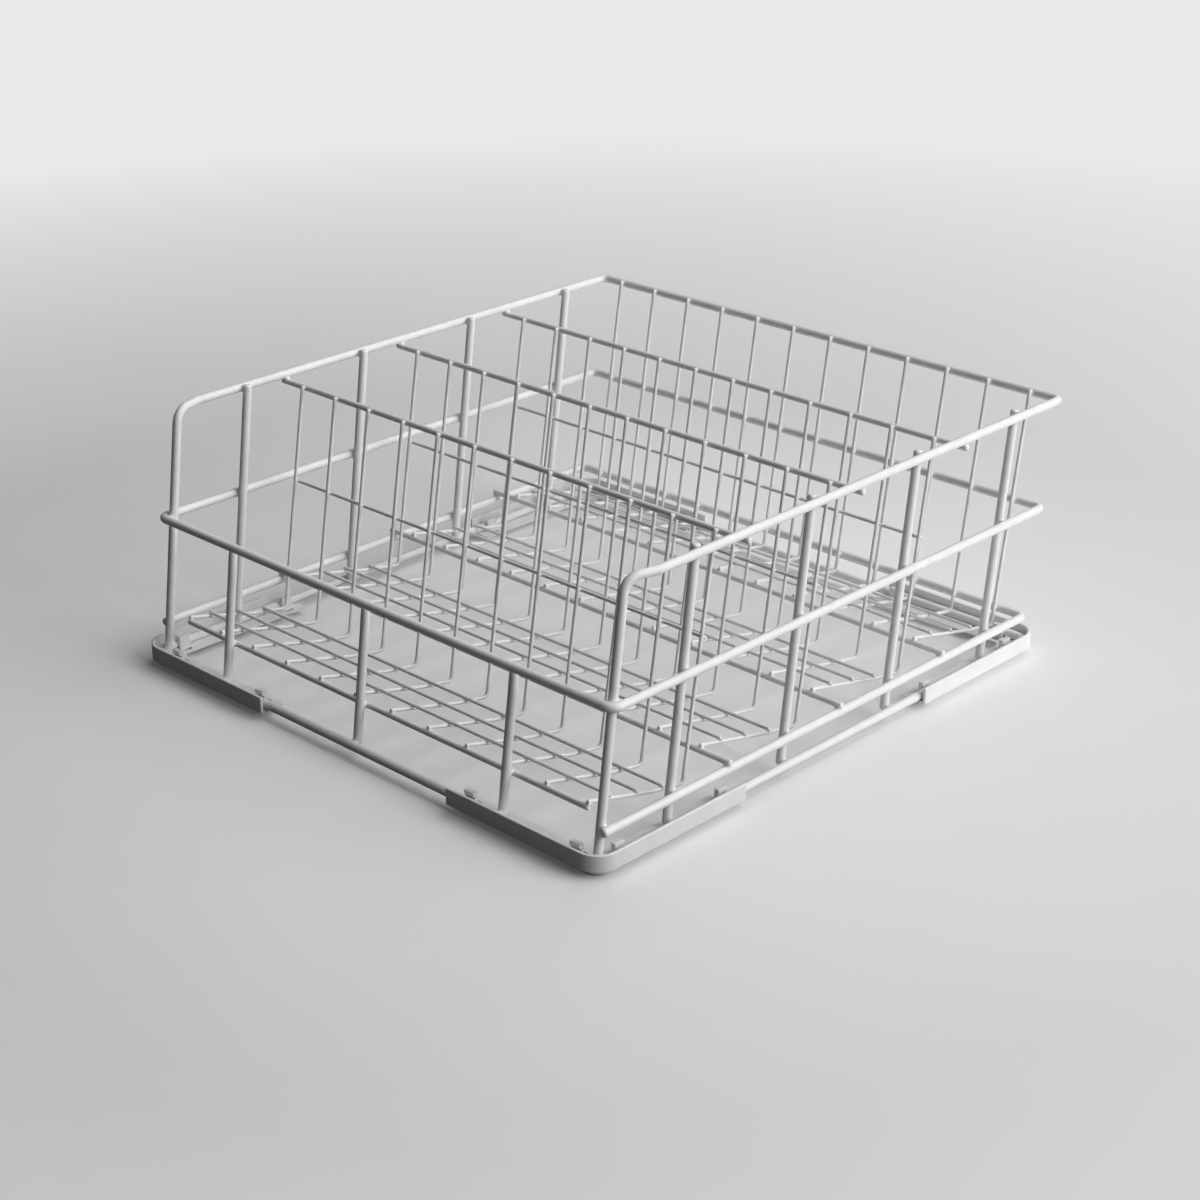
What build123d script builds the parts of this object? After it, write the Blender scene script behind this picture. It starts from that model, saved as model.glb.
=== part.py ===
"""Glass rack for a dishwasher: a welded, coated wire basket with four leaning rows on four corner shoes.

Millimetres. +X runs left to right along the open front, +Y to the back, +Z up.
The origin is on the floor, at the middle of the rack's overall width and depth.
"""
from build123d import *
import math
import os

# Wires, measured over their coating
wire_diameter = 6.8
rail_diameter = 4.8
thin_diameter = 2.8
weld_gap = 0.1

# Footprint over the shoes
base_width = 500.0
base_depth = 500.0

# Corner shoes
shoe_arm = 148.0
shoe_width = 22.5
shoe_height = 13.0
shoe_wall = 2.5
shoe_plate = 1.0
shoe_edge_round = 0.8
shoe_inner_round = 4.0

# Runners under the shoes, that the rack stands on
runner_height = 5.0
runner_inset = 5.5
runner_width = 8.0
runner_tip_gap = 8.0
runner_outer_round = 11.0
runner_inner_round = 3.0
runner_edge_round = 1.0

# How the bottom ring lies in the shoes
ring_side_gap = 1.6
ring_corner_gap = 0.2
ring_seat_gap = 0.1

# Clips on the shoes, inside the ring
clip_length = 9.5
clip_thickness = 2.5
clip_rise = 3.6
clip_gap = 0.1
clip_lip = 1.6
clip_from_corner = 31.0
clip_from_arm_end = 14.0
clip_slot_length = 8.0
clip_slot_width = 4.0
clip_slot_margin = 1.0

# Heights of the rails' centre lines above the floor
lower_rail_z = 30.8
mid_ring_z = 118.2
top_rail_z = 202.9

# Posts
post_lean = 8.0
post_foot_gap = 1.0
side_post_count = 4
first_side_post = 81.8
last_side_post = 60.3
last_left_post_lead = 6.0
front_post_count = 3
first_front_post = 89.3
last_front_post = 105.4
front_post_drop = 1.0

# Bends of the thick wires
corner_play = 0.1
top_bend_radius = 13.0
jog_run = 24.0
jog_radius = 20.0
lower_rail_left_overhang = 0.5
lower_rail_right_overhang = 5.5

# Rows and the dividers behind them
row_count = 4
first_divider = 152.5
back_overhang = 16.1
rail_lead = 16.3
wire_lean = 9.7
divider_cross_z = 122.5

# Glass wires
glass_wire_count = 12
glass_wire_side_gap = 13.55
floor_z = 18.0
bend_radius = 4.0
kink_run = 30.0
kink_rise = 5.5
kink_radius = 60.0
stub_length = 1.5

# Cross wires on the floors
floor_cross_count = 3
floor_cross_first = 19.3
floor_cross_pitch = 26.2
cross_overhang = 0.3

# Centre distances of wires that are welded where they cross
wire_radius = wire_diameter / 2
rail_radius = rail_diameter / 2
thin_radius = thin_diameter / 2
wire_step = wire_diameter + weld_gap
rail_step = wire_radius + rail_radius + weld_gap
back_step = wire_radius + thin_radius + weld_gap
glass_step = rail_radius + thin_radius + weld_gap
thin_step = thin_diameter + weld_gap

# Slopes of the two leans
post_slope = math.tan(math.radians(post_lean))
wire_slope = math.tan(math.radians(wire_lean))
post_cos = math.cos(math.radians(post_lean))
wire_cos = math.cos(math.radians(wire_lean))

# Heights that follow from what lies on what
plate_z = runner_height + shoe_plate
ring_z = plate_z + ring_seat_gap + wire_radius
divider_z = top_rail_z - rail_step
row_rail_z = lower_rail_z + rail_step
foot_z = plate_z + post_foot_gap + wire_radius * math.sin(math.radians(post_lean))

# Sideways places
ring_inset = shoe_wall + ring_side_gap + wire_radius
ring_x = base_width / 2 - ring_inset
post_x = ring_x - wire_step
rail_end_x = ring_x + wire_radius
outer_glass_x = post_x - wire_radius - glass_wire_side_gap - thin_radius
glass_wire_pitch = 2 * outer_glass_x / (glass_wire_count - 1)
front_post_pitch = (base_width - first_front_post - last_front_post) / (front_post_count - 1)
cross_end_x = outer_glass_x + thin_radius + cross_overhang

# Places from front to back
side_post_pitch = (base_depth - first_side_post - last_side_post) / (side_post_count - 1)
row_pitch = (base_depth + back_overhang - first_divider) / (row_count - 1)
back_from_front = first_divider + (row_count - 1) * row_pitch + wire_slope * rail_step + wire_radius
front_y = -max(base_depth, back_from_front) / 2
ring_front_y = front_y + ring_inset
ring_back_y = front_y + base_depth - ring_inset

# Corners: the ring's bend nests the post, and the shoe's bend clears the ring
ring_bend_radius = wire_step + corner_play
shoe_inner_radius = (ring_bend_radius + wire_radius
                     + (ring_side_gap - ring_corner_gap / math.sqrt(2)) / (1 - 1 / math.sqrt(2)))
shoe_corner_radius = shoe_inner_radius + shoe_wall


def front_post_y(z):
    """Centre of the front and corner posts at a height."""
    return ring_front_y + wire_step / post_cos + post_slope * (z - ring_z)


def side_post_y(side, index, z):
    """Centre of a side post at a height. The last one on the left stands a little further forward."""
    foot_y = front_y + first_side_post + index * side_post_pitch
    if side < 0 and index == side_post_count - 1:
        foot_y -= last_left_post_lead
    return foot_y + post_slope * (z - ring_z)


def divider_y(index):
    """Centre of a divider's top rail; the last index is the back of the rack at that height."""
    return front_y + first_divider + index * row_pitch


def back_y(z):
    """Centre of the back runs of the rails at a height."""
    return divider_y(row_count - 1) + wire_slope * (z - divider_z)


def glass_y(index, z):
    """Centre of a row's leaning glass wires at a height. The last row leans on the thicker back rails."""
    step = back_step if index == row_count - 1 else glass_step
    return divider_y(index) - step / wire_cos + wire_slope * (z - divider_z)


def row_rail_y(index):
    """Centre of a row's front rail. The first one is welded to the front posts."""
    if index == 0:
        return front_post_y(row_rail_z) + rail_step / post_cos
    return divider_y(index - 1) - rail_lead


def rod(start, end, diameter):
    """Straight round wire between two points."""
    axis = Vector(*end) - Vector(*start)
    return Solid.make_cylinder(diameter / 2, axis.length, Plane(origin=start, z_dir=axis))


def bent_wire(points, radii, diameter):
    """Round wire along straight runs joined by bends, one radius for each inner point."""
    path = FilletPolyline(*points, radius=radii)
    section = Plane(origin=path @ 0, z_dir=path % 0) * Circle(diameter / 2)
    return sweep(section, path=path)


def ring_wire(half_width, low_y, high_y, z, diameter):
    """Closed rectangular ring with bent corners, joined in the middle of its back run."""
    seam = (0, high_y, z)
    corners = [
        (half_width, high_y, z),
        (half_width, low_y, z),
        (-half_width, low_y, z),
        (-half_width, high_y, z),
    ]
    radii = [ring_bend_radius] * len(corners)
    half = bent_wire([seam] + corners[:2] + [(0, low_y, z)], radii[:2], diameter)
    other_half = bent_wire([(0, low_y, z)] + corners[2:] + [seam], radii[2:], diameter)
    return half + other_half


def along_x(y, z, half_length, diameter):
    """Straight wire from left to right, about the middle plane."""
    return rod((-half_length, y, z), (half_length, y, z), diameter)


def floor_profile(index):
    """Side view of a row's glass wire: bend, kink, end, and the slopes before and behind the kink."""
    bend = (glass_y(index, floor_z), floor_z)
    kink = (bend[0] - kink_run, floor_z + kink_rise)
    run = kink[0] - row_rail_y(index)
    rise = row_rail_z - kink[1]
    reach = math.hypot(run, rise)
    front_slope = math.atan2(rise, run) + math.asin(glass_step / reach)
    back_slope = math.atan2(kink_rise, kink_run)
    length = math.sqrt(reach ** 2 - glass_step ** 2) + stub_length
    end = (kink[0] - length * math.cos(front_slope), kink[1] + length * math.sin(front_slope))
    return bend, kink, end, front_slope, back_slope


def glass_wire(index, x):
    """One L-shaped wire of a row: the leaning back, the floor and the stub on the front rail."""
    bend, kink, end, _, _ = floor_profile(index)
    top_z = top_rail_z + wire_radius if index == row_count - 1 else divider_z + rail_radius
    points = [(x, glass_y(index, top_z), top_z), (x, *bend), (x, *kink), (x, *end)]
    return bent_wire(points, [bend_radius, kink_radius], thin_diameter)


def floor_cross_wire(index, place):
    """Wire across a row, on top of its glass wires."""
    _, kink, _, front_slope, back_slope = floor_profile(index)
    y = row_rail_y(index) + floor_cross_first + place * floor_cross_pitch
    slope = front_slope if y < kink[0] else back_slope
    z = kink[1] + (kink[0] - y) * math.tan(slope)
    above_y = y + thin_step * math.sin(slope)
    above_z = z + thin_step * math.cos(slope)
    return along_x(above_y, above_z, cross_end_x, thin_diameter)


def top_rail():
    """Corner posts and top rail in one wire. The posts stand inside the rings, so it jogs out at the top."""
    corner_y = front_post_y(top_rail_z)
    left = [
        (-post_x, front_post_y(foot_z), foot_z),
        (-post_x, corner_y, top_rail_z),
        (-ring_x, corner_y + jog_run, top_rail_z),
        (-ring_x, back_y(top_rail_z), top_rail_z),
    ]
    right = [(-x, y, z) for x, y, z in reversed(left)]
    radii = [top_bend_radius, jog_radius, ring_bend_radius]
    return bent_wire(left + right, radii + radii[::-1], wire_diameter)


def lower_rail():
    """Rail round the sides and the back, ending just in front of the corner posts."""
    post_y = front_post_y(lower_rail_z)
    rear_y = back_y(lower_rail_z)
    points = [
        (-ring_x, post_y - lower_rail_left_overhang, lower_rail_z),
        (-ring_x, rear_y, lower_rail_z),
        (ring_x, rear_y, lower_rail_z),
        (ring_x, post_y - lower_rail_right_overhang, lower_rail_z),
    ]
    return bent_wire(points, [ring_bend_radius] * 2, wire_diameter)


def side_post(side, index):
    """Post inside the side rails, from the shoe's level up to the top of the top rail."""
    top_z = top_rail_z + wire_radius
    x = side * post_x
    foot = (x, side_post_y(side, index, foot_z), foot_z)
    return rod(foot, (x, side_post_y(side, index, top_z), top_z), wire_diameter)


def front_post(index):
    """Post inside the bottom ring and the mid ring, on the open front."""
    top_z = mid_ring_z - front_post_drop
    x = -base_width / 2 + first_front_post + index * front_post_pitch
    return rod((x, front_post_y(foot_z), foot_z), (x, front_post_y(top_z), top_z), wire_diameter)


def arm_outline(arm, width):
    """Plan of an L with its outer corner at the origin and both arms along +X and +Y."""
    return Polyline((0, 0), (arm, 0), (arm, width), (width, width), (width, arm), (0, arm), close=True)


def rounded_l(arm, width, outer_radius, inner_radius):
    """L-shaped face with its outer and inner corners rounded."""
    face = make_face(arm_outline(arm, width))
    face = fillet(face.vertices().sort_by_distance((0, 0, 0))[:1], outer_radius)
    return fillet(face.vertices().sort_by_distance((width, width, 0))[:1], inner_radius)


def clip(place):
    """Clip that keeps the ring in the shoe, at a distance along the X arm."""
    face_y = ring_inset + wire_radius + clip_gap
    lip_z = ring_z + wire_radius + clip_gap
    height = ring_z + wire_radius + clip_rise - runner_height
    stem = Pos(place, face_y, runner_height) * Box(clip_length, clip_thickness, height,
                                                   align=(Align.CENTER, Align.MIN, Align.MIN))
    lip = Pos(place, face_y, lip_z) * Box(clip_length, clip_lip, clip_rise - clip_gap,
                                          align=(Align.CENTER, Align.MAX, Align.MIN))
    return stem + lip


def clip_slot(place):
    """Moulding slot through the base plate, behind a clip."""
    slot_y = ring_inset + wire_radius + clip_gap + clip_thickness + clip_slot_margin
    return Pos(place, slot_y, runner_height) * Box(clip_slot_length, clip_slot_width, shoe_plate * 2,
                                                   align=(Align.CENTER, Align.MIN, Align.CENTER))


def runner():
    """Runner under a shoe, with its lower edges rounded."""
    arm = shoe_arm - runner_inset - runner_tip_gap
    body = extrude(rounded_l(arm, runner_width, runner_outer_round, runner_inner_round), runner_height)
    body = fillet(body.faces().sort_by(Axis.Z)[0].edges(), runner_edge_round)
    return Pos(runner_inset, runner_inset, 0) * body


def corner_shoe():
    """Shoe with its outer corner at the origin and its arms along +X and +Y."""
    plate = extrude(rounded_l(shoe_arm, shoe_width, shoe_corner_radius, shoe_inner_round), shoe_plate)
    wall = extrude(rounded_l(shoe_arm, shoe_wall, shoe_corner_radius, shoe_inner_radius), shoe_height)
    wall = fillet(wall.faces().sort_by(Axis.Z)[-1].edges(), shoe_edge_round)
    shoe = runner() + Pos(0, 0, runner_height) * (plate + wall)
    diagonal = Plane(origin=(0, 0, 0), z_dir=(1, -1, 0))
    for place in (clip_from_corner, shoe_arm - clip_from_arm_end):
        shoe += clip(place)
        shoe += mirror(clip(place), diagonal)
        shoe -= clip_slot(place)
        shoe -= mirror(clip_slot(place), diagonal)
    return shoe


def placed_shoe(side, end):
    """Shoe moved to a corner: side is -1 left or 1 right, end is -1 front or 1 back."""
    shoe = corner_shoe()
    if side > 0:
        shoe = mirror(shoe, Plane.YZ)
    if end > 0:
        shoe = mirror(shoe, Plane.XZ)
    corner_y = front_y if end < 0 else front_y + base_depth
    return Pos(side * base_width / 2, corner_y, 0) * shoe


parts = {
    "top_rail": top_rail(),
    "mid_ring": ring_wire(ring_x, ring_front_y + post_slope * (mid_ring_z - ring_z), back_y(mid_ring_z),
                          mid_ring_z, wire_diameter),
    "lower_rail": lower_rail(),
    "bottom_ring": ring_wire(ring_x, ring_front_y, ring_back_y, ring_z, wire_diameter),
}

for number in range(1, side_post_count + 1):
    parts[f"left_post_{number}"] = side_post(-1, number - 1)
    parts[f"right_post_{number}"] = side_post(1, number - 1)

for number in range(1, front_post_count + 1):
    parts[f"front_post_{number}"] = front_post(number - 1)

for number in range(1, row_count):
    index = number - 1
    parts[f"divider_{number}_top_rail"] = along_x(divider_y(index), divider_z, rail_end_x, rail_diameter)
    cross_y = glass_y(index, divider_cross_z) + thin_step / wire_cos
    parts[f"divider_{number}_cross_wire"] = along_x(cross_y, divider_cross_z, cross_end_x, thin_diameter)

for number in range(1, row_count + 1):
    index = number - 1
    half_length = cross_end_x if index == 0 else rail_end_x
    parts[f"row_{number}_front_rail"] = along_x(row_rail_y(index), row_rail_z, half_length, rail_diameter)
    for place in range(floor_cross_count):
        parts[f"row_{number}_floor_wire_{place + 1}"] = floor_cross_wire(index, place)
    wires = [glass_wire(index, -outer_glass_x + step * glass_wire_pitch) for step in range(glass_wire_count)]
    parts[f"row_{number}_glass_wires"] = Compound(children=wires)

for side, side_name in ((-1, "left"), (1, "right")):
    for end, end_name in ((-1, "front"), (1, "back")):
        parts[f"corner_shoe_{end_name}_{side_name}"] = placed_shoe(side, end)

os.makedirs("parts", exist_ok=True)
for name, shape in parts.items():
    export_step(shape, f"parts/{name}.step")
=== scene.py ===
"""Looks of the glass rack: coated wires, webs of coating at the welds, shoes, floor, light and camera."""
import math

import bmesh
import bpy
import numpy as np
from mathutils import Matrix, Vector


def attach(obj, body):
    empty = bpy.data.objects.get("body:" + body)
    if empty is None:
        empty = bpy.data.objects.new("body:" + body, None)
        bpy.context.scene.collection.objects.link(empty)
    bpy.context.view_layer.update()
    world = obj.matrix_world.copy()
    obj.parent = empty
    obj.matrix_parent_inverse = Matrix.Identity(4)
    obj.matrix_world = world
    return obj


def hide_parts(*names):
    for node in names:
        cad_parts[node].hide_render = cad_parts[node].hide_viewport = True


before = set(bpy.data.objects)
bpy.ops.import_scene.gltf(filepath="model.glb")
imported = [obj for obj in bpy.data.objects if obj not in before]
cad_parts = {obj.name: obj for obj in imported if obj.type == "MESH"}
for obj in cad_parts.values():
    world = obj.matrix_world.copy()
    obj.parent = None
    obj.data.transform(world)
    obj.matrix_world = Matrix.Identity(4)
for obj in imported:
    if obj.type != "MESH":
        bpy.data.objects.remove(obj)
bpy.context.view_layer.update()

MM = 0.001

# Sizes in millimetres, the same as in the part's source
wire_radius = 3.4
rail_radius = 2.4
thin_radius = 1.4
weld_gap = 0.1
base_width = 500.0
base_depth = 500.0
shoe_arm = 148.0
shoe_width = 22.5
shoe_height = 13.0
shoe_wall = 2.5
shoe_plate = 1.0
shoe_inner_round = 4.0
runner_height = 5.0
runner_inset = 5.5
runner_width = 8.0
runner_tip_gap = 8.0
runner_outer_round = 11.0
runner_inner_round = 3.0
ring_side_gap = 1.6
ring_corner_gap = 0.2
ring_seat_gap = 0.1
clip_length = 9.5
clip_thickness = 2.5
clip_rise = 3.6
clip_gap = 0.1
clip_lip = 1.6
clip_from_corner = 31.0
clip_from_arm_end = 14.0
clip_slot_length = 8.0
clip_slot_width = 4.0
clip_slot_margin = 1.0
lower_rail_z = 30.8
mid_ring_z = 118.2
top_rail_z = 202.9
post_lean = math.radians(8.0)
post_foot_gap = 1.0
side_post_count = 4
first_side_post = 81.8
last_side_post = 60.3
last_left_post_lead = 6.0
front_post_count = 3
first_front_post = 89.3
last_front_post = 105.4
front_post_drop = 1.0
corner_play = 0.1
top_bend_radius = 13.0
jog_run = 24.0
jog_radius = 20.0
lower_rail_left_overhang = 0.5
lower_rail_right_overhang = 5.5
row_count = 4
first_divider = 152.5
back_overhang = 16.1
rail_lead = 16.3
wire_lean = math.radians(9.7)
divider_cross_z = 122.5
glass_wire_count = 12
glass_wire_side_gap = 13.55
floor_z = 18.0
bend_radius = 4.0
kink_run = 30.0
kink_rise = 5.5
kink_radius = 60.0
stub_length = 1.5
floor_cross_count = 3
floor_cross_first = 19.3
floor_cross_pitch = 26.2
cross_overhang = 0.3

wire_step = 2 * wire_radius + weld_gap
rail_step = wire_radius + rail_radius + weld_gap
back_step = wire_radius + thin_radius + weld_gap
glass_step = rail_radius + thin_radius + weld_gap
thin_step = 2 * thin_radius + weld_gap
post_slope = math.tan(post_lean)
wire_slope = math.tan(wire_lean)
plate_z = runner_height + shoe_plate
ring_z = plate_z + ring_seat_gap + wire_radius
divider_z = top_rail_z - rail_step
row_rail_z = lower_rail_z + rail_step
foot_z = plate_z + post_foot_gap + wire_radius * math.sin(post_lean)
ring_inset = shoe_wall + ring_side_gap + wire_radius
ring_x = base_width / 2 - ring_inset
post_x = ring_x - wire_step
rail_end_x = ring_x + wire_radius
outer_glass_x = post_x - wire_radius - glass_wire_side_gap - thin_radius
glass_wire_pitch = 2 * outer_glass_x / (glass_wire_count - 1)
cross_end_x = outer_glass_x + thin_radius + cross_overhang
front_post_pitch = (base_width - first_front_post - last_front_post) / (front_post_count - 1)
side_post_pitch = (base_depth - first_side_post - last_side_post) / (side_post_count - 1)
row_pitch = (base_depth + back_overhang - first_divider) / (row_count - 1)
front_y = -(first_divider + (row_count - 1) * row_pitch + wire_slope * rail_step + wire_radius) / 2
ring_front_y = front_y + ring_inset
ring_back_y = front_y + base_depth - ring_inset
ring_bend_radius = wire_step + corner_play
shoe_inner_radius = (ring_bend_radius + wire_radius
                     + (ring_side_gap - ring_corner_gap / math.sqrt(2)) / (1 - 1 / math.sqrt(2)))
shoe_corner_radius = shoe_inner_radius + shoe_wall
clip_face = ring_inset + wire_radius + clip_gap
clip_places = (clip_from_corner, shoe_arm - clip_from_arm_end)
sides_of_rack = ((-1, "left"), (1, "right"))
ends_of_rack = ((-1, "front"), (1, "back"))

# Meshes of the wires: sides round a wire, degrees to a step along an arc, and the rounding of a cut end
THICK_SIDES = 28
THIN_SIDES = 18
ARC_STEP = 7.5
FINE_ARC_STEP = 6.0
LEAST_ARC_STEPS = 3
END_ROUND = 0.62
END_ANGLES = np.radians([0, 22, 45, 68])
NEARLY_PARALLEL = 0.9

# Webs of coating at the welds: how far they run into the corner, and the grid that they are cut from
WEB_THICK = dict(blend=3.0, cell=0.45)
WEB_MIXED = dict(blend=2.0, cell=0.42)
WEB_THIN = dict(blend=1.5, cell=0.36)
WEB_MARGIN = 6.0
WEB_PASSES = 2
WEB_LEAST_HEIGHT = 0.035
WEB_EDGE_SINK = 0.06
GRADIENT_STEP = 0.01
TINY = 1e-9

# Half sizes of the box round each kind of weld
CORNER_POST_BOX = (8.0, 8.0, 6.0)
SIDE_POST_BOX = (4.0, 7.0, 7.0)
FRONT_POST_BOX = (7.0, 4.5, 7.0)
BACK_WIRE_BOX = (5.0, 4.0, 6.0)
ROW_RAIL_BOX = (4.5, 5.0, 4.0)
RAIL_END_BOX = (7.0, 7.0, 4.0)
FLOOR_WIRE_BOX = (3.4, 3.6, 2.8)
DIVIDER_RAIL_BOX = (4.5, 3.6, 5.0)
DIVIDER_CROSS_BOX = (3.4, 2.6, 3.6)
CORNER_WELD_SHIFT = 2.0

# Shoe mouldings: rounded edges, tips and corners, and how far their bodies reach into each other
PLATE_EDGE = 0.25
WALL_EDGE = 0.75
RUNNER_EDGE = 0.9
CLIP_EDGE = 0.25
PLATE_TIP_ROUND = 1.5
WALL_TIP_ROUND = 1.0
RUNNER_TIP_ROUND = 2.5
SLOT_ROUND = 0.9
CLIP_ROUNDS = [0.3, 0.5, 0.5, 0.4, 0.2, 0.3]
PLATE_LIFT = 0.05
RUNNER_OVERLAP = 0.7
CLIP_FOOT_LIFT = 0.3
EDGE_STEPS = 2
FACE_WEIGHT = 100
JOIN_DISTANCE = 1e-6

# Materials: the span that holds most of a noise, the height of the finest waves in metres, and gloss
NOISE_SPAN = (0.3, 0.7)
WAVE_HEIGHT = 0.0004
PLASTIC_IOR = 1.5


# Places of the wires
def front_post_y(z):
    return ring_front_y + wire_step / math.cos(post_lean) + post_slope * (z - ring_z)


def side_post_y(side, index, z):
    foot_y = front_y + first_side_post + index * side_post_pitch
    if side < 0 and index == side_post_count - 1:
        foot_y -= last_left_post_lead
    return foot_y + post_slope * (z - ring_z)


def divider_y(index):
    return front_y + first_divider + index * row_pitch


def back_y(z):
    return divider_y(row_count - 1) + wire_slope * (z - divider_z)


def glass_y(index, z):
    step = back_step if index == row_count - 1 else glass_step
    return divider_y(index) - step / math.cos(wire_lean) + wire_slope * (z - divider_z)


def row_rail_y(index):
    if index == 0:
        return front_post_y(row_rail_z) + rail_step / math.cos(post_lean)
    return divider_y(index - 1) - rail_lead


def glass_x(step):
    return -outer_glass_x + step * glass_wire_pitch


def bend_path(points, radii, step_deg=ARC_STEP):
    """Points along straight runs joined by arcs."""
    corners = [Vector(p) for p in points]
    out = [corners[0]]
    for before, corner, after, radius in zip(corners, corners[1:], corners[2:], radii):
        to_before = (before - corner).normalized()
        to_after = (after - corner).normalized()
        turn = math.pi - to_before.angle(to_after)
        start = corner + to_before * (radius * math.tan(turn / 2))
        end = corner + to_after * (radius * math.tan(turn / 2))
        centre = corner + (to_before + to_after).normalized() * (radius / math.cos(turn / 2))
        first = (start - centre).normalized()
        second = (end - centre) - first * (end - centre).dot(first)
        second.normalize()
        count = max(LEAST_ARC_STEPS, math.ceil(math.degrees(turn) / step_deg))
        for k in range(count + 1):
            angle = turn * k / count
            out.append(centre + (first * math.cos(angle) + second * math.sin(angle)) * radius)
    out.append(corners[-1])
    return np.array([tuple(p) for p in out])


# Meshes of the wires
class Mesh:
    """Vertices, faces and normals that grow piece by piece."""

    def __init__(self):
        self.verts, self.faces, self.normals = [], [], []
        self.count = 0

    def add(self, verts, faces, normals):
        self.verts.append(np.asarray(verts, float))
        self.normals.append(np.asarray(normals, float))
        self.faces += [tuple(int(i) + self.count for i in f) for f in faces]
        self.count += len(verts)

    def build(self, name, material, node):
        mesh = bpy.data.meshes.new(name)
        verts = np.concatenate(self.verts) * MM
        mesh.from_pydata([tuple(v) for v in verts], [], self.faces)
        mesh.update()
        mesh.shade_smooth()
        mesh.normals_split_custom_set_from_vertices([tuple(n) for n in np.concatenate(self.normals)])
        mesh.materials.append(material)
        piece = bpy.data.objects.new(name, mesh)
        bpy.context.scene.collection.objects.link(piece)
        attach(piece, "root")
        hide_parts(node)


def side_vectors(tangent):
    """A direction across the wire at each of its points, turned no more than the wire turns."""
    reference = np.array([1.0, 0.0, 0.0])
    if abs(tangent[0] @ reference) > NEARLY_PARALLEL:
        reference = np.array([0.0, 0.0, 1.0])
    side = np.cross(tangent[0], reference)
    side /= np.linalg.norm(side)
    across = []
    for t in tangent:
        side = side - t * (side @ t)
        side /= np.linalg.norm(side)
        across.append(side)
    return across


def tube(mesh, path, radius, sides, closed=False):
    """Round wire along a path, with softly rounded ends where it is cut."""
    path = np.asarray(path, float)
    count = len(path)
    ahead = np.diff(path, axis=0, append=path[:1]) if closed else np.diff(path, axis=0)
    ahead /= np.linalg.norm(ahead, axis=1)[:, None]
    if closed:
        tangent = ahead + np.roll(ahead, 1, axis=0)
    else:
        tangent = np.vstack([ahead[:1], ahead[:-1] + ahead[1:], ahead[-1:]])
    tangent /= np.linalg.norm(tangent, axis=1)[:, None]
    across = side_vectors(tangent)

    rings, places = list(range(count)), [0.0] * count
    widths, slopes = [1.0] * count, [0.0] * count
    if not closed:
        edge = END_ROUND * radius
        head = [(edge * (1 - math.cos(a)), (radius - edge + edge * math.sin(a)) / radius, math.cos(a))
                for a in END_ANGLES]
        foot = head[::-1]
        rings = [0] * len(head) + rings + [count - 1] * len(foot)
        places = [h[0] for h in head] + [edge] + places[1:-1] + [-edge] + [-h[0] for h in foot]
        widths = [h[1] for h in head] + widths + [h[1] for h in foot]
        slopes = [-h[2] for h in head] + slopes + [h[2] for h in foot]

    angles = np.linspace(0, 2 * math.pi, sides, endpoint=False)
    verts, normals = [], []
    for ring, place, width, slope in zip(rings, places, widths, slopes):
        t, a = tangent[ring], across[ring]
        out = np.outer(np.cos(angles), a) + np.outer(np.sin(angles), np.cross(t, a))
        stretch = 1.0
        if closed or 0 < ring < count - 1:
            stretch = 1.0 / max(NEARLY_PARALLEL, float(t @ ahead[ring]))
        verts.append(path[ring] + t * place + out * radius * width * stretch)
        normals.append(out * math.sqrt(1 - slope * slope) + t * slope)
    verts, normals = np.concatenate(verts), np.concatenate(normals)

    total = len(rings)
    faces = []
    for i in range(total if closed else total - 1):
        j = (i + 1) % total
        for k in range(sides):
            n = (k + 1) % sides
            faces.append((i * sides + k, i * sides + n, j * sides + n, j * sides + k))
    if not closed:
        verts = np.vstack([verts, path[:1], path[-1:]])
        normals = np.vstack([normals, -tangent[:1], tangent[-1:]])
        tip, last_ring = total * sides, (total - 1) * sides
        for k in range(sides):
            n = (k + 1) % sides
            faces.append((n, k, tip))
            faces.append((last_ring + k, last_ring + n, tip + 1))
    mesh.add(verts, faces, normals)


# Webs of coating; a wire is given as its path and its radius
def wire_distance(points, start, end, radius):
    """Distance of points from the surface of a straight stretch of round wire."""
    run = end - start
    along = np.clip(((points - start) @ run) / (run @ run), 0, 1)
    return np.linalg.norm(points - start - along[:, None] * run, axis=1) - radius


def near_part(wire, centre, reach):
    """Straight stretches of a wire near a point, ended a radius early so that round caps stay in it."""
    path, radius = wire
    path = [np.asarray(p, float) for p in path]
    start, end = path[0], path[-1]
    path[0] = start + (path[1] - start) / np.linalg.norm(path[1] - start) * radius
    path[-1] = end + (path[-2] - end) / np.linalg.norm(path[-2] - end) * radius
    keep = []
    for a, b in zip(path[:-1], path[1:]):
        run = b - a
        length = np.linalg.norm(run)
        middle = np.clip(((centre - a) @ run) / length, 0, length)
        low, high = max(0.0, middle - reach), min(length, middle + reach)
        nearest = a + run / length * middle
        if np.linalg.norm(nearest - centre) < reach:
            keep.append((a + run / length * low, a + run / length * high))
    return keep


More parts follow.
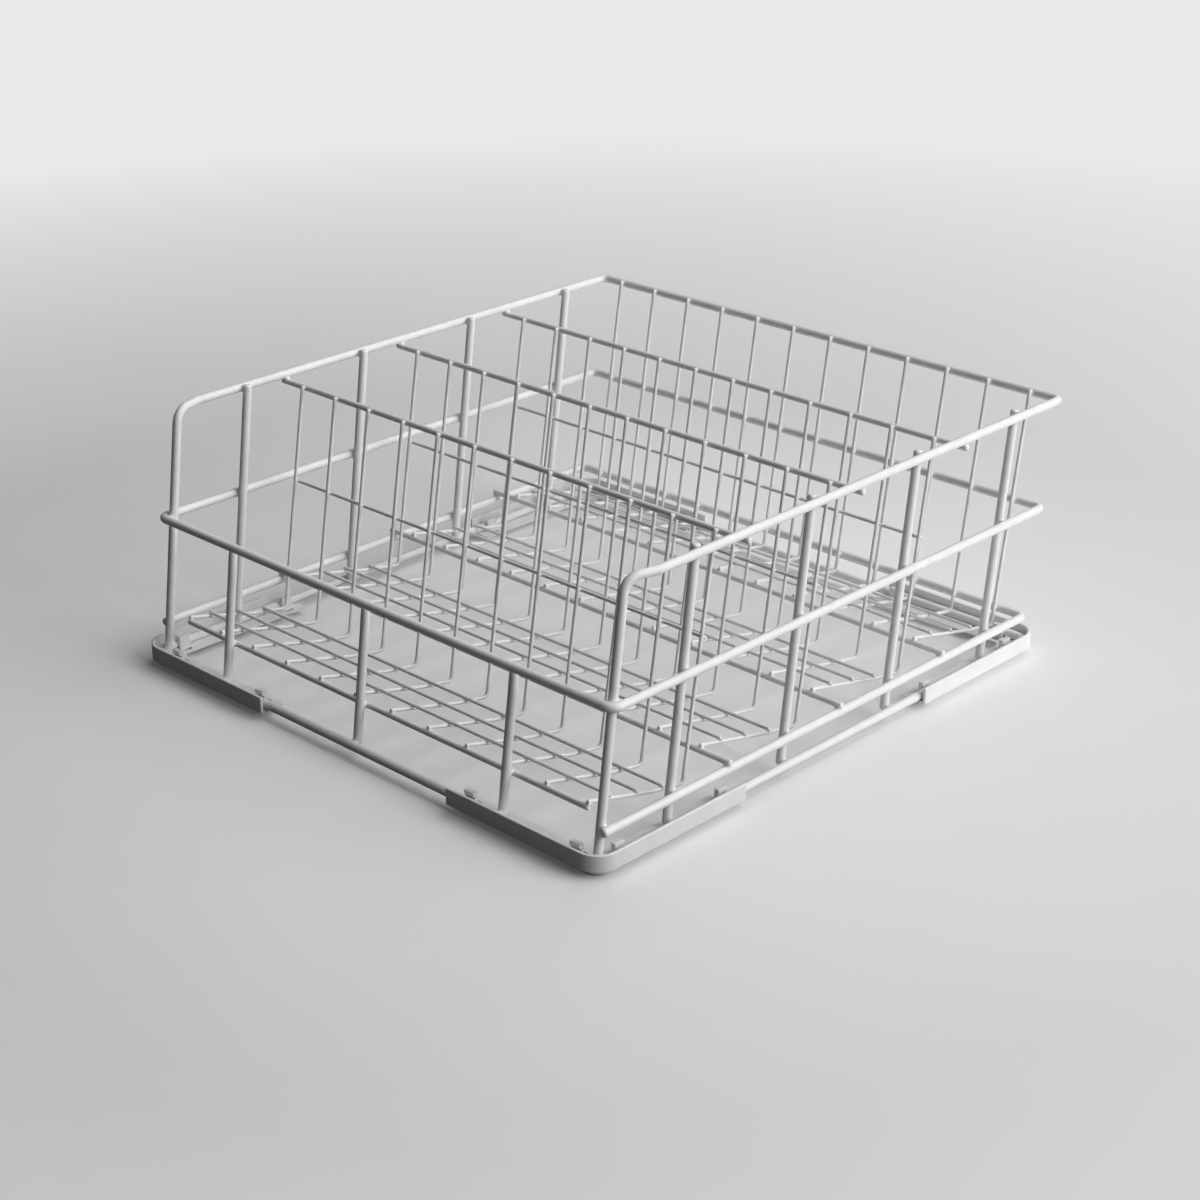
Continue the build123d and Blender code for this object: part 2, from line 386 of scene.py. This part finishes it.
def surface_net(value, grid):
    """Vertices and faces of a field's zero surface on a grid, with a vertex in each cell that it cuts."""
    inside = value < 0
    cells = tuple(s - 1 for s in value.shape)
    total, weight = np.zeros(cells + (3,)), np.zeros(cells)

    def at(array, corner):
        i, j, k = corner
        return array[i:i + cells[0], j:j + cells[1], k:k + cells[2]]

    for corner in np.ndindex(2, 2, 2):
        for axis in range(3):
            if corner[axis]:
                continue
            other = tuple(v + int(n == axis) for n, v in enumerate(corner))
            here, there = at(value, corner), at(value, other)
            cut = (here < 0) != (there < 0)
            share = np.where(cut, here / np.where(cut, here - there, 1), 0)
            point = at(grid, corner) + share[..., None] * (at(grid, other) - at(grid, corner))
            total += np.where(cut[..., None], point, 0)
            weight += cut
    used = weight > 0
    index = np.full(cells, -1)
    index[used] = np.arange(used.sum())
    verts = total[used] / weight[used][:, None]

    quads = []
    for axis in range(3):
        p, q = [n for n in range(3) if n != axis]
        low = [slice(1, cells[n]) for n in range(3)]
        low[axis] = slice(0, cells[axis])
        high = list(low)
        high[axis] = slice(1, cells[axis] + 1)
        for edge in np.argwhere(inside[tuple(low)] != inside[tuple(high)]):
            edge[p] += 1
            edge[q] += 1
            ring = []
            for dp, dq in ((0, 0), (1, 0), (1, 1), (0, 1)):
                cell = edge.copy()
                cell[p] -= dp
                cell[q] -= dq
                ring.append(index[tuple(cell)])
            if min(ring) < 0:
                continue
            forward = bool(inside[tuple(edge)]) ^ (axis == 1)
            quads.append(ring if forward else ring[::-1])
    return verts, quads


def web(wire_a, wire_b, centre, size, blend, cell):
    """Fillet of coating where two wires meet, cut from a smooth union of both."""
    centre = np.asarray(centre, float)
    reach = max(size) + WEB_MARGIN
    painted_light_under_rack = [(near_part(wire, centre, reach), wire[1]) for wire in (wire_a, wire_b)]

    def fields(points):
        """Distance from the smooth union and from the bare wires."""
        a, b = (np.min([wire_distance(points, *ends, radius) for ends in stretches], axis=0)
                for stretches, radius in painted_light_under_rack)
        bare = np.minimum(a, b)
        h = np.maximum(blend - np.abs(a - b), 0) / blend
        return bare - h * h * blend / 4, bare

    def gradient(points):
        out = np.zeros_like(points)
        for axis in range(3):
            step = np.zeros(3)
            step[axis] = GRADIENT_STEP
            out[:, axis] = fields(points + step)[0] - fields(points - step)[0]
        return out / np.maximum(np.linalg.norm(out, axis=1), TINY)[:, None]

    axes = [np.arange(-s, s + cell, cell) for s in size]
    grid = np.stack(np.meshgrid(*axes, indexing="ij"), axis=-1) + centre
    value = fields(grid.reshape(-1, 3))[0].reshape(grid.shape[:3])
    verts, quads = surface_net(value, grid)
    for _ in range(WEB_PASSES):
        verts = verts - gradient(verts) * fields(verts)[0][:, None]
    normals = gradient(verts)
    height = fields(verts)[1]
    quads = [f for f in quads if max(height[list(f)]) > WEB_LEAST_HEIGHT]
    verts = verts - normals * np.where(height < WEB_LEAST_HEIGHT, WEB_EDGE_SINK, 0.0)[:, None]
    keep = sorted({i for f in quads for i in f})
    renumber = {old: new for new, old in enumerate(keep)}
    return verts[keep], [tuple(renumber[i] for i in f) for f in quads], normals[keep]


def add_web(mesh, wire_a, wire_b, centre, size, kind, shifts=((0, 0, 0),), mirror_x=False):
    """Web between two wires, repeated at each shift and, for a rail's other end, mirrored."""
    verts, faces, normals = web(wire_a, wire_b, centre, size, **kind)
    for shift in shifts:
        mesh.add(verts + np.array(shift), faces, normals)
    if mirror_x:
        flip = np.array([-1, 1, 1])
        mesh.add(verts * flip, [f[::-1] for f in faces], normals * flip)


# Materials
def noise(nodes, links, coords, scale, detail, roughness):
    node = nodes.new("ShaderNodeTexNoise")
    node.inputs["Scale"].default_value = scale
    node.inputs["Detail"].default_value = detail
    node.inputs["Roughness"].default_value = roughness
    links.new(coords.outputs["Object"], node.inputs["Vector"])
    return node.outputs["Fac"]


def ramp(nodes, links, value, low, high):
    node = nodes.new("ShaderNodeValToRGB")
    for element, place, colour in zip(node.color_ramp.elements, NOISE_SPAN, (low, high)):
        element.position = place
        element.color = (*colour, 1)
    links.new(value, node.inputs["Fac"])
    return node.outputs["Color"]


def map_range(nodes, links, value, span, low, high):
    node = nodes.new("ShaderNodeMapRange")
    node.inputs["From Min"].default_value = span[0]
    node.inputs["From Max"].default_value = span[1]
    node.inputs["To Min"].default_value = low
    node.inputs["To Max"].default_value = high
    links.new(value, node.inputs["Value"])
    return node.outputs["Result"]


def surface(name, low, high, rough_low, rough_high, cloud, grain, bump):
    """White plastic surface: slow clouds in the colour, gloss that varies, fine waves."""
    material = bpy.data.materials.new(name)
    material.use_nodes = True
    nodes, links = material.node_tree.nodes, material.node_tree.links
    shader = nodes["Principled BSDF"]
    coords = nodes.new("ShaderNodeTexCoord")
    clouds = noise(nodes, links, coords, cloud, detail=4.0, roughness=0.55)
    grains = noise(nodes, links, coords, grain, detail=2.0, roughness=0.5)
    gloss = map_range(nodes, links, grains, NOISE_SPAN, rough_low, rough_high)
    links.new(ramp(nodes, links, clouds, low, high), shader.inputs["Base Color"])
    links.new(gloss, shader.inputs["Roughness"])
    waves = nodes.new("ShaderNodeBump")
    waves.inputs["Strength"].default_value = bump
    waves.inputs["Distance"].default_value = WAVE_HEIGHT
    links.new(grains, waves.inputs["Height"])
    links.new(waves.outputs["Normal"], shader.inputs["Normal"])
    shader.inputs["IOR"].default_value = PLASTIC_IOR
    return material


coat = surface("coated_wire", low=(0.76, 0.765, 0.765), high=(0.83, 0.83, 0.825),
               rough_low=0.34, rough_high=0.5, cloud=90.0, grain=700.0, bump=0.25)
plastic = surface("shoe_plastic", low=(0.74, 0.745, 0.745), high=(0.81, 0.81, 0.805),
                  rough_low=0.42, rough_high=0.58, cloud=60.0, grain=1400.0, bump=0.18)


# Paths of the wires
def along_x(y, z, half):
    return np.array([(-half, y, z), (half, y, z)])


def floor_profile(index):
    """Bend, kink and end of a row's floor as (y, z), and its slopes before and behind the kink."""
    bend = (glass_y(index, floor_z), floor_z)
    kink = (bend[0] - kink_run, floor_z + kink_rise)
    run = kink[0] - row_rail_y(index)
    rise = row_rail_z - kink[1]
    reach = math.hypot(run, rise)
    front_slope = math.atan2(rise, run) + math.asin(glass_step / reach)
    back_slope = math.atan2(kink_rise, kink_run)
    length = math.sqrt(reach ** 2 - glass_step ** 2) + stub_length
    end = (kink[0] - length * math.cos(front_slope), kink[1] + length * math.sin(front_slope))
    return bend, kink, end, front_slope, back_slope


def glass_path(index, x):
    bend, kink, end, _, _ = floor_profile(index)
    top_z = top_rail_z + wire_radius if index == row_count - 1 else divider_z + rail_radius
    points = [(x, glass_y(index, top_z), top_z), (x, *bend), (x, *kink), (x, *end)]
    return bend_path(points, [bend_radius, kink_radius], FINE_ARC_STEP)


def floor_cross_place(index, place):
    _, kink, _, front_slope, back_slope = floor_profile(index)
    y = row_rail_y(index) + floor_cross_first + place * floor_cross_pitch
    slope = front_slope if y < kink[0] else back_slope
    z = kink[1] + (kink[0] - y) * math.tan(slope)
    return y + thin_step * math.sin(slope), z + thin_step * math.cos(slope), slope


def side_post_path(side, index):
    heights = (foot_z, top_rail_z + wire_radius)
    return np.array([(side * post_x, side_post_y(side, index, z), z) for z in heights])


def front_post_path(index):
    x = -base_width / 2 + first_front_post + index * front_post_pitch
    heights = (foot_z, mid_ring_z - front_post_drop)
    return np.array([(x, front_post_y(z), z) for z in heights])


def ring_path(low_y, high_y, z):
    """Closed ring, begun at the middle of its back."""
    middle = (0, high_y, z)
    corners = [(ring_x, high_y, z), (ring_x, low_y, z), (-ring_x, low_y, z), (-ring_x, high_y, z)]
    return bend_path([middle, *corners, middle], [ring_bend_radius] * 4)[:-1]


corner_y = front_post_y(top_rail_z)
left_run = [
    (-post_x, front_post_y(foot_z), foot_z),
    (-post_x, corner_y, top_rail_z),
    (-ring_x, corner_y + jog_run, top_rail_z),
    (-ring_x, back_y(top_rail_z), top_rail_z),
]
right_run = [(-x, y, z) for x, y, z in reversed(left_run)]
top_radii = [top_bend_radius, jog_radius, ring_bend_radius]
top_path = bend_path(left_run + right_run, top_radii + top_radii[::-1])
mid_front_y = ring_front_y + post_slope * (mid_ring_z - ring_z)
mid_path = ring_path(mid_front_y, back_y(mid_ring_z), mid_ring_z)
bottom_path = ring_path(ring_front_y, ring_back_y, ring_z)
lower_post_y = front_post_y(lower_rail_z)
lower_run = [
    (-ring_x, lower_post_y - lower_rail_left_overhang, lower_rail_z),
    (-ring_x, back_y(lower_rail_z), lower_rail_z),
    (ring_x, back_y(lower_rail_z), lower_rail_z),
    (ring_x, lower_post_y - lower_rail_right_overhang, lower_rail_z),
]
lower_path = bend_path(lower_run, [ring_bend_radius] * 2)

top_wire = (top_path, wire_radius)
mid_wire = (np.vstack([mid_path, mid_path[:1]]), wire_radius)
lower_wire = (lower_path, wire_radius)
bottom_wire = (np.vstack([bottom_path, bottom_path[:1]]), wire_radius)
frame_wires = [(bottom_wire, ring_z), (lower_wire, lower_rail_z), (mid_wire, mid_ring_z),
               (top_wire, top_rail_z)]

# Rings and rails of the frame
mesh = Mesh()
tube(mesh, top_path, wire_radius, THICK_SIDES)
for side, _ in sides_of_rack:
    corner_post = (np.array([(-side * x, y, z) for x, y, z in left_run[:2]]), wire_radius)
    for rail, z in frame_wires[:-1]:
        centre = (side * (post_x + CORNER_WELD_SHIFT), front_post_y(z) - CORNER_WELD_SHIFT, z)
        add_web(mesh, corner_post, rail, centre, CORNER_POST_BOX, WEB_THICK)
mesh.build("top_rail_wire", coat, "top_rail")

for name, path, closed in (("mid_ring", mid_path, True), ("lower_rail", lower_path, False),
                           ("bottom_ring", bottom_path, True)):
    mesh = Mesh()
    tube(mesh, path, wire_radius, THICK_SIDES, closed)
    mesh.build(f"{name}_wire", coat, name)

# Posts
for side, side_name in sides_of_rack:
    for index in range(side_post_count):
        mesh = Mesh()
        path = side_post_path(side, index)
        tube(mesh, path, wire_radius, THICK_SIDES)
        for rail, z in frame_wires:
            centre = (side * (post_x + ring_x) / 2, side_post_y(side, index, z), z)
            add_web(mesh, (path, wire_radius), rail, centre, SIDE_POST_BOX, WEB_THICK)
        name = f"{side_name}_post_{index + 1}"
        mesh.build(f"{name}_wire", coat, name)

first_row_rail = (along_x(row_rail_y(0), row_rail_z, cross_end_x), rail_radius)
for index in range(front_post_count):
    mesh = Mesh()
    path = front_post_path(index)
    tube(mesh, path, wire_radius, THICK_SIDES)
    for rail, rail_y, z in ((bottom_wire, ring_front_y, ring_z), (mid_wire, mid_front_y, mid_ring_z),
                            (first_row_rail, row_rail_y(0), row_rail_z)):
        centre = (path[0][0], (front_post_y(z) + rail_y) / 2, z)
        add_web(mesh, (path, wire_radius), rail, centre, FRONT_POST_BOX, WEB_THICK)
    name = f"front_post_{index + 1}"
    mesh.build(f"{name}_wire", coat, name)

# Rows: a web is made at a row's first glass wire and repeated at the others
wire_shifts = [(glass_x(step) - glass_x(0), 0, 0) for step in range(glass_wire_count)]


def first_glass_wire(index):
    return glass_path(index, glass_x(0)), thin_radius


def build_glass_wires(index):
    mesh = Mesh()
    for step in range(glass_wire_count):
        tube(mesh, glass_path(index, glass_x(step)), thin_radius, THIN_SIDES)
    if index == row_count - 1:
        for rail, z in reversed(frame_wires[1:]):
            centre = (glass_x(0), back_y(z) - wire_radius, z)
            add_web(mesh, first_glass_wire(index), rail, centre, BACK_WIRE_BOX, WEB_MIXED, wire_shifts)
    name = f"row_{index + 1}_glass_wires"
    mesh.build(f"{name}_coated", coat, name)


def build_row_rail(index):
    """Rail under the front ends of a row. The first is on the front posts, the others on the lower rail."""
    mesh = Mesh()
    y = row_rail_y(index)
    rail = (along_x(y, row_rail_z, cross_end_x if index == 0 else rail_end_x), rail_radius)
    tube(mesh, *rail, THICK_SIDES)
    front_slope = floor_profile(index)[3]
    lift = rail_radius + weld_gap / 2
    centre = (glass_x(0), y + lift * math.sin(front_slope), row_rail_z + lift * math.cos(front_slope))
    add_web(mesh, first_glass_wire(index), rail, centre, ROW_RAIL_BOX, WEB_MIXED, wire_shifts)
    if index > 0:
        centre = (-ring_x, y, (row_rail_z + lower_rail_z) / 2)
        add_web(mesh, rail, lower_wire, centre, RAIL_END_BOX, WEB_THICK, mirror_x=True)
    name = f"row_{index + 1}_front_rail"
    mesh.build(f"{name}_wire", coat, name)


def build_floor_wire(index, place):
    mesh = Mesh()
    y, z, slope = floor_cross_place(index, place)
    cross = (along_x(y, z, cross_end_x), thin_radius)
    tube(mesh, *cross, THIN_SIDES)
    centre = (glass_x(0), y - thin_step / 2 * math.sin(slope), z - thin_step / 2 * math.cos(slope))
    add_web(mesh, first_glass_wire(index), cross, centre, FLOOR_WIRE_BOX, WEB_THIN, wire_shifts)
    name = f"row_{index + 1}_floor_wire_{place + 1}"
    mesh.build(f"{name}_coated", coat, name)


def build_divider_rail(index):
    mesh = Mesh()
    y = divider_y(index)
    rail = (along_x(y, divider_z, rail_end_x), rail_radius)
    tube(mesh, *rail, THICK_SIDES)
    centre = (glass_x(0), y - rail_radius, divider_z)
    add_web(mesh, first_glass_wire(index), rail, centre, DIVIDER_RAIL_BOX, WEB_MIXED, wire_shifts)
    centre = (-ring_x, y, (divider_z + top_rail_z) / 2)
    add_web(mesh, rail, top_wire, centre, RAIL_END_BOX, WEB_THICK, mirror_x=True)
    name = f"divider_{index + 1}_top_rail"
    mesh.build(f"{name}_wire", coat, name)


def build_divider_cross_wire(index):
    mesh = Mesh()
    y = glass_y(index, divider_cross_z) + thin_step / math.cos(wire_lean)
    cross = (along_x(y, divider_cross_z, cross_end_x), thin_radius)
    tube(mesh, *cross, THIN_SIDES)
    centre = (glass_x(0), y - thin_step / 2, divider_cross_z)
    add_web(mesh, first_glass_wire(index), cross, centre, DIVIDER_CROSS_BOX, WEB_THIN, wire_shifts)
    name = f"divider_{index + 1}_cross_wire"
    mesh.build(f"{name}_coated", coat, name)


for index in range(row_count):
    build_glass_wires(index)
    build_row_rail(index)
    for place in range(floor_cross_count):
        build_floor_wire(index, place)
    if index < row_count - 1:
        build_divider_rail(index)
        build_divider_cross_wire(index)


# Shoes
def outline(corners, radii):
    """Closed outline with rounded corners, begun half way along its last side."""
    start = tuple((a + b) / 2 for a, b in zip(corners[-1], corners[0]))
    return bend_path([(x, y, 0) for x, y in [start, *corners, start]], radii, FINE_ARC_STEP)[:-1, :2]


def l_plan(arm, width, outer_radius, inner_radius, tip_radius):
    """Plan of an L with its outer corner at the origin."""
    corners = [(arm, 0), (arm, width), (width, width), (width, arm), (0, arm), (0, 0)]
    return outline(corners, [tip_radius, tip_radius, inner_radius, tip_radius, tip_radius, outer_radius])


def box_outline(low, high, radius):
    """Rectangle with rounded corners."""
    return outline([(high[0], low[1]), high, (low[0], high[1]), low], [radius] * 4)


def moulding(outlines, low, high, edge):
    """Body of even height with rounded edges. The first outline is its plan, the others are holes."""
    curve = bpy.data.curves.new("moulding", "CURVE")
    curve.dimensions = "2D"
    curve.fill_mode = "BOTH"
    curve.extrude = (high - low) / 2 - edge
    curve.bevel_depth = edge
    curve.bevel_resolution = EDGE_STEPS
    curve.offset = -edge
    for points in outlines:
        spline = curve.splines.new("POLY")
        spline.points.add(len(points) - 1)
        for place, (x, y) in zip(spline.points, points):
            place.co = (x, y, 0, 1)
        spline.use_cyclic_u = True
    body = bpy.data.objects.new("moulding", curve)
    bpy.context.scene.collection.objects.link(body)
    body_mesh = bpy.data.meshes.new_from_object(body.evaluated_get(bpy.context.evaluated_depsgraph_get()))
    verts = np.array([tuple(v.co) for v in body_mesh.vertices]) + np.array([0, 0, (low + high) / 2])
    faces = [tuple(f.vertices) for f in body_mesh.polygons]
    bpy.data.objects.remove(body)
    bpy.data.curves.remove(curve)
    bpy.data.meshes.remove(body_mesh)
    return verts, faces


def clip_body(place):
    """Block with a lip over the bottom ring, at a distance along the X arm."""
    foot = runner_height + CLIP_FOOT_LIFT
    lip_z = ring_z + wire_radius + clip_gap
    top = ring_z + wire_radius + clip_rise
    back, tip = clip_face + clip_thickness, clip_face - clip_lip
    side_view = [(back, foot), (back, top), (tip, top), (tip, lip_z), (clip_face, lip_z), (clip_face, foot)]
    verts, faces = moulding([outline(side_view, CLIP_ROUNDS)], -clip_length / 2, clip_length / 2, CLIP_EDGE)
    return np.stack([verts[:, 2] + place, verts[:, 0], verts[:, 1]], axis=1), faces


def swap_arms(verts, faces):
    """The same body on the other arm."""
    return verts[:, [1, 0, 2]], [f[::-1] for f in faces]


def shoe_bodies():
    """Plate with slots, wall, runner and clips of a shoe whose outer corner is at the origin."""
    slots, clips = [], []
    slot_y = clip_face + clip_thickness + clip_slot_margin
    for place in clip_places:
        low, high = place - clip_slot_length / 2, place + clip_slot_length / 2
        slot = box_outline((low, slot_y), (high, slot_y + clip_slot_width), SLOT_ROUND)
        slots += [slot, slot[:, ::-1]]
        clip = clip_body(place)
        clips += [clip, swap_arms(*clip)]
    plate_plan = l_plan(shoe_arm, shoe_width, shoe_corner_radius, shoe_inner_round, PLATE_TIP_ROUND)
    wall_plan = l_plan(shoe_arm, shoe_wall, shoe_corner_radius, shoe_inner_radius, WALL_TIP_ROUND)
    runner_arm = shoe_arm - runner_inset - runner_tip_gap
    runner_plan = runner_inset + l_plan(runner_arm, runner_width, runner_outer_round, runner_inner_round,
                                        RUNNER_TIP_ROUND)
    return [
        moulding([plate_plan, *slots], runner_height + PLATE_LIFT, plate_z, PLATE_EDGE),
        moulding([wall_plan], runner_height, runner_height + shoe_height, WALL_EDGE),
        moulding([runner_plan], 0, runner_height + RUNNER_OVERLAP, RUNNER_EDGE),
        *clips,
    ]


def build_shoe(name, bodies, side, end):
    """Shoe at a corner: side is -1 left or 1 right, end is -1 front or 1 back."""
    mirror = np.array([-side, -end, 1])
    corner = np.array([side * base_width / 2, front_y + (base_depth if end > 0 else 0), 0])
    verts, faces = [], []
    for body_verts, body_faces in bodies:
        faces += [tuple(i + len(verts) for i in (f if side == end else f[::-1])) for f in body_faces]
        verts += [tuple(v) for v in (body_verts * mirror + corner) * MM]
    mesh = bpy.data.meshes.new(name)
    mesh.from_pydata(verts, [], faces)
    joined = bmesh.new()
    joined.from_mesh(mesh)
    bmesh.ops.remove_doubles(joined, verts=joined.verts, dist=JOIN_DISTANCE)
    joined.to_mesh(mesh)
    joined.free()
    mesh.shade_smooth()
    mesh.materials.append(plastic)
    piece = bpy.data.objects.new(name, mesh)
    bpy.context.scene.collection.objects.link(piece)
    normals = piece.modifiers.new("normals", "WEIGHTED_NORMAL")
    normals.weight = FACE_WEIGHT
    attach(piece, "root")
    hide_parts(name.removesuffix("_moulded"))


bodies = shoe_bodies()
for side, side_name in sides_of_rack:
    for end, end_name in ends_of_rack:
        build_shoe(f"corner_shoe_{end_name}_{side_name}_moulded", bodies, side, end)

# Floor, in metres: its reach, where its look changes round the rack (a painted glow of light under the rack
# that lifts the wires' shadows, and a pale far floor), and the light that it throws back
FLOOR_HALF = 9
UNDER_RACK_PAINTED_LIGHT_SPAN = (0.25, 0.6)
UNDER_RACK_PAINTED_LIGHT = 0.07
FAR_SPAN = (0.65, 1.8)
FAR_GLOW = (0.82, 0.82, 0.82, 1)
BOUNCE_SPAN = (-0.25, 0.15)
BOUNCE_FRONT = 0.14
BOUNCE_BACK = 0.95


def floor_look():
    """Pale to the eye, with painted light glowing under the rack to lift the wires' shadows; it throws
    little light back at the front of the rack and more at the back.
    """
    material = surface("studio_floor", low=(0.75, 0.75, 0.75), high=(0.77, 0.77, 0.77),
                       rough_low=0.7, rough_high=0.8, cloud=3.0, grain=60.0, bump=0.02)
    nodes, links = material.node_tree.nodes, material.node_tree.links
    shader = nodes["Principled BSDF"]
    place = nodes["Texture Coordinate"].outputs["Object"]

    def mix(share, first, second):
        node = nodes.new("ShaderNodeMixShader")
        for socket, source in zip(node.inputs, (share, first, second)):
            links.new(source, socket)
        return node.outputs["Shader"]

    radius = nodes.new("ShaderNodeVectorMath")
    radius.operation = "LENGTH"
    links.new(place, radius.inputs[0])
    # Painted light: the floor glows faintly under the rack and fades out by 0.6 m, lifting the shadows of
    # the wires
    painted_light_under_rack = map_range(nodes, links, radius.outputs["Value"], UNDER_RACK_PAINTED_LIGHT_SPAN, UNDER_RACK_PAINTED_LIGHT, 0.0)
    links.new(painted_light_under_rack, shader.inputs["Emission Color"])
    shader.inputs["Emission Strength"].default_value = 1.0
    far = map_range(nodes, links, radius.outputs["Value"], FAR_SPAN, 0.0, 1.0)
    glow = nodes.new("ShaderNodeEmission")
    glow.inputs["Color"].default_value = FAR_GLOW
    pale = mix(far, shader.outputs["BSDF"], glow.outputs["Emission"])

    axes = nodes.new("ShaderNodeSeparateXYZ")
    links.new(place, axes.inputs["Vector"])
    bounce = nodes.new("ShaderNodeBsdfDiffuse")
    backward = map_range(nodes, links, axes.outputs["Y"], BOUNCE_SPAN, BOUNCE_FRONT, BOUNCE_BACK)
    links.new(backward, bounce.inputs["Color"])
    rays = nodes.new("ShaderNodeLightPath")
    seen = mix(rays.outputs["Is Camera Ray"], bounce.outputs["BSDF"], pale)
    links.new(seen, nodes["Material Output"].inputs["Surface"])
    return material


floor_mesh = bpy.data.meshes.new("studio_floor")
floor_corners = [(x * FLOOR_HALF, y * FLOOR_HALF, 0) for x, y in ((-1, -1), (1, -1), (1, 1), (-1, 1))]
floor_mesh.from_pydata(floor_corners, [], [(0, 1, 2, 3)])
floor_mesh.materials.append(floor_look())
studio_floor = bpy.data.objects.new("studio_floor", floor_mesh)
bpy.context.scene.collection.objects.link(studio_floor)

# Light, in metres and watts
LIGHT_TARGET = (0, 0, 0.08)
WORLD_COLOUR = (0.9, 0.9, 0.9, 1)
WORLD_STRENGTH = 0.06


def area_light(name, place, width, height, power):
    data = bpy.data.lights.new(name, "AREA")
    data.shape = "RECTANGLE"
    data.size = width
    data.size_y = height
    data.energy = power
    lamp = bpy.data.objects.new(name, data)
    lamp.location = place
    lamp.rotation_euler = (Vector(LIGHT_TARGET) - Vector(place)).to_track_quat("-Z", "Y").to_euler()
    bpy.context.scene.collection.objects.link(lamp)


area_light("key_light", place=(4.1, 1.4, 2.58), width=4.4, height=3.4, power=230)
area_light("back_light", place=(0.4, 1.8, 3.52), width=3.0, height=3.0, power=66)

world = bpy.data.worlds.new("studio")
world.use_nodes = True
world.node_tree.nodes["Background"].inputs["Color"].default_value = WORLD_COLOUR
world.node_tree.nodes["Background"].inputs["Strength"].default_value = WORLD_STRENGTH
bpy.context.scene.world = world
bpy.context.scene.view_settings.view_transform = "Standard"

# Camera, fitted to the photograph for a 1200 by 1200 frame
frame_px = 1200.0
focal_px = 2396.73
centre_px = (591.926, 649.917)
camera_distance = 1893.238
azimuth, elevation, roll = (math.radians(v) for v in (44.382, 23.963, -0.519))
sensor_width = 36.0
clip_end = 100
towards = Vector((math.sin(azimuth) * math.cos(elevation), -math.cos(azimuth) * math.cos(elevation),
                  math.sin(elevation)))
right = Vector((math.cos(azimuth), math.sin(azimuth), 0))
upward = towards.cross(right)
turned_right = right * math.cos(roll) + upward * math.sin(roll)
turned_up = upward * math.cos(roll) - right * math.sin(roll)
offset_x = (centre_px[0] - frame_px / 2) / focal_px * camera_distance
offset_y = -(centre_px[1] - frame_px / 2) / focal_px * camera_distance
base_centre = Vector((0, front_y + base_depth / 2, runner_height))
camera_place = base_centre - turned_right * offset_x - turned_up * offset_y + towards * camera_distance
camera_data = bpy.data.cameras.new("camera")
camera_data.sensor_fit = "HORIZONTAL"
camera_data.sensor_width = sensor_width
camera_data.lens = focal_px / frame_px * sensor_width
camera_data.clip_end = clip_end
camera = bpy.data.objects.new("camera", camera_data)
turn = Matrix((turned_right, turned_up, towards)).transposed().to_4x4()
camera.matrix_world = Matrix.Translation(camera_place * MM) @ turn
bpy.context.scene.collection.objects.link(camera)
bpy.context.scene.camera = camera
